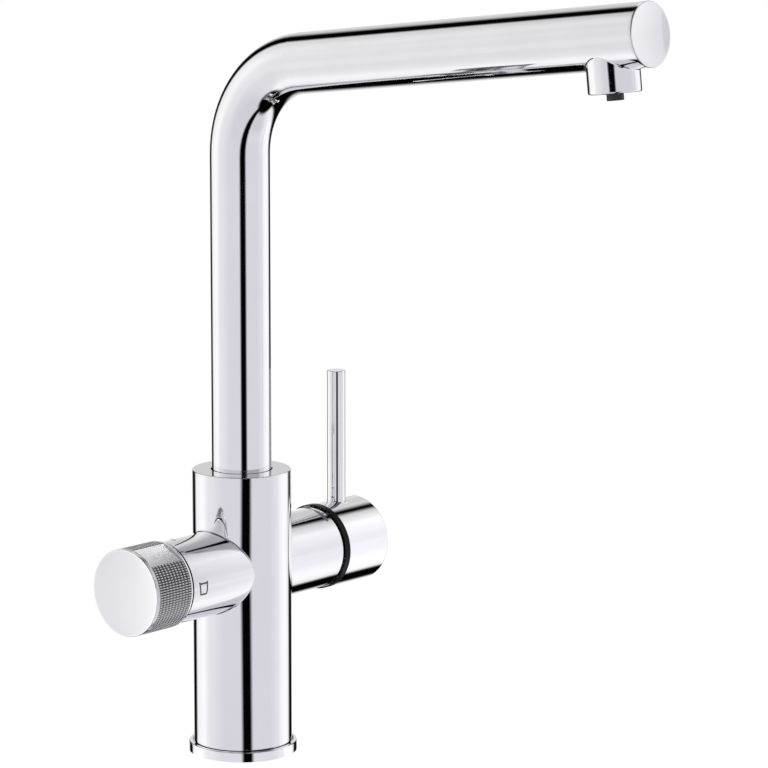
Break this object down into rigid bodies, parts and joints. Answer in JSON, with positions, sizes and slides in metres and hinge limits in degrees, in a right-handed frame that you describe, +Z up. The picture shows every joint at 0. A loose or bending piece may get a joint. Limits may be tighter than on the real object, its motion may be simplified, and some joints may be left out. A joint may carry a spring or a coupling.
{
  "type": "filtered water kitchen tap",
  "caption": "Chrome column tap with a rising swivel spout, a pin-lever mixing handle on one side and a knurled filter knob on the other, with its own filtered water way.",
  "frame": {"origin": "centre of the face that stands on the worktop, on the column's axis", "axes": "+Z up along the column, +X towards the mixing handle, -Y the way the spout points at rest"},
  "size_m": [0.1603, 0.2599, 0.3632],
  "materials": {
    "chrome": "mirror polished chrome plate",
    "skirt_black": "black satin",
    "nozzle_grey": "dark grey moulded",
    "seal_rubber": "matt black",
    "core_brass": "machined",
    "pin_steel": "turned",
    "valve_plastic": "moulded",
    "valve_ceramic": "lapped alumina",
    "hose_plastic": "milky hose"
  },
  "bodies": {
    "column": {"body_shell": "chrome", "base_ring": "chrome", "base_gasket": "seal_rubber", "valve_core": "core_brass", "spout_slip_ring": "valve_plastic", "spout_stop_screw": "pin_steel", "cartridge_housing": "valve_plastic", "cartridge_base": "valve_plastic", "cartridge_seals": "seal_rubber", "fixed_mixing_disc": "valve_ceramic", "cartridge_nut": "core_brass", "cartridge_dome": "chrome", "headpart_body": "core_brass", "headpart_seal": "seal_rubber", "headpart_fixed_disc": "valve_ceramic", "knob_guide_ring": "valve_plastic"},
    "spout": {"spout_tube": "chrome", "spout_foot": "core_brass", "spout_o_rings": "seal_rubber", "spout_end_cap": "chrome", "outlet_socket": "chrome", "filtered_water_tube": "hose_plastic", "aerator_seal": "seal_rubber", "aerator_housing": "nozzle_grey", "aerator_insert": "nozzle_grey", "filter_nozzle": "nozzle_grey"},
    "mix_carrier": {"cartridge_carrier": "valve_plastic", "tilt_pin": "pin_steel"},
    "mixing_disc": {"moving_mixing_disc": "valve_ceramic", "disc_slider": "valve_plastic"},
    "handle": {"handle_ring": "skirt_black", "handle_cap": "chrome", "lever_rod": "chrome", "cartridge_stem": "pin_steel"},
    "filter_knob": {"headpart_turning_disc": "valve_ceramic", "headpart_spindle": "core_brass", "spindle_o_ring": "seal_rubber", "spindle_clip": "pin_steel", "knob_grip": "chrome", "knob_cap": "chrome", "knob_adapter": "valve_plastic", "knob_screw": "pin_steel"}
  },
  "joints": [
    {"name": "spout_swivel", "type": "hinge", "parent": "column", "child": "spout", "pos_m": [0, 0, 0.125], "axis": [0, 0, 1], "range_deg": [-75, 75]},
    {"name": "temperature_turn", "type": "hinge", "parent": "column", "child": "mix_carrier", "pos_m": [0.0485, 0, 0.089], "axis": [1, 0, 0], "range_deg": [-45, 45]},
    {"name": "flow_tilt", "type": "hinge", "parent": "mix_carrier", "child": "handle", "pos_m": [0.0485, 0, 0.089], "axis": [0, 1, 0], "range_deg": [0, 12]},
    {"name": "disc_slide", "type": "slide", "parent": "mix_carrier", "child": "mixing_disc", "axis": [0, 0, 1], "range_m": [0, 0.003]},
    {"name": "filter_turn", "type": "hinge", "parent": "column", "child": "filter_knob", "pos_m": [-0.0543, 0, 0.089], "axis": [-1, 0, 0], "range_deg": [0, 90]}
  ],
  "couplings": [
    {"joint": "disc_slide", "follows": "flow_tilt", "m_per_rad": 0.014}
  ]
}
